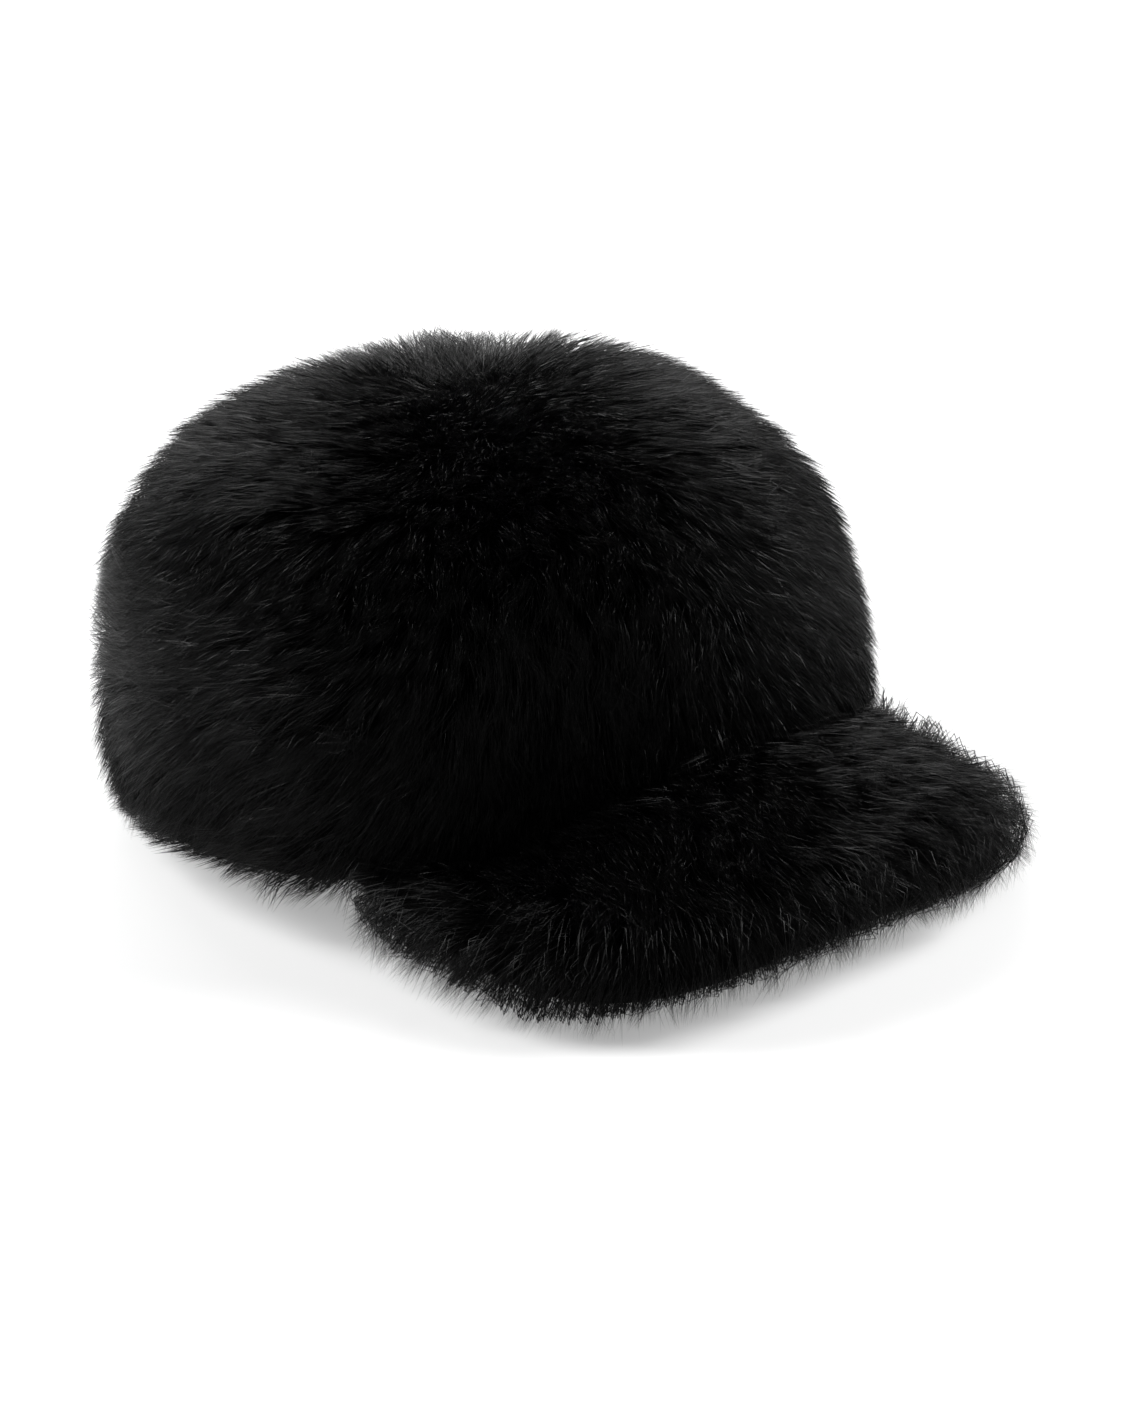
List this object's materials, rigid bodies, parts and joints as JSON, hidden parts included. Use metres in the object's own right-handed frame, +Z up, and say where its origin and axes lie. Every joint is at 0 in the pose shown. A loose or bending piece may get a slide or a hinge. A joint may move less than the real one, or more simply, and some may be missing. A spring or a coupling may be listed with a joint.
{
  "type": "fur peaked cap",
  "caption": "Soft rounded cap with a short peak, covered all over in deep glossy black fur, lying on its hem and the corners of its peak.",
  "frame": {"origin": "middle of the footprint, on the surface that the cap rests on", "axes": "+Z up, -Y the way the peak points, +X the wearer's left"},
  "size_m": [0.219, 0.282, 0.1417],
  "materials": {
    "black_fur": "deep glossy pile",
    "backing_cloth": "plain matt weave"
  },
  "bodies": {
    "root": {"crown_panel_front_left": "black_fur", "crown_panel_front_right": "black_fur", "crown_panel_side_left": "black_fur", "crown_panel_side_right": "black_fur", "crown_panel_back_left": "black_fur", "crown_panel_back_right": "black_fur", "peak_top_cover": "black_fur", "peak_under_cover": "black_fur"}
  },
  "joints": []
}
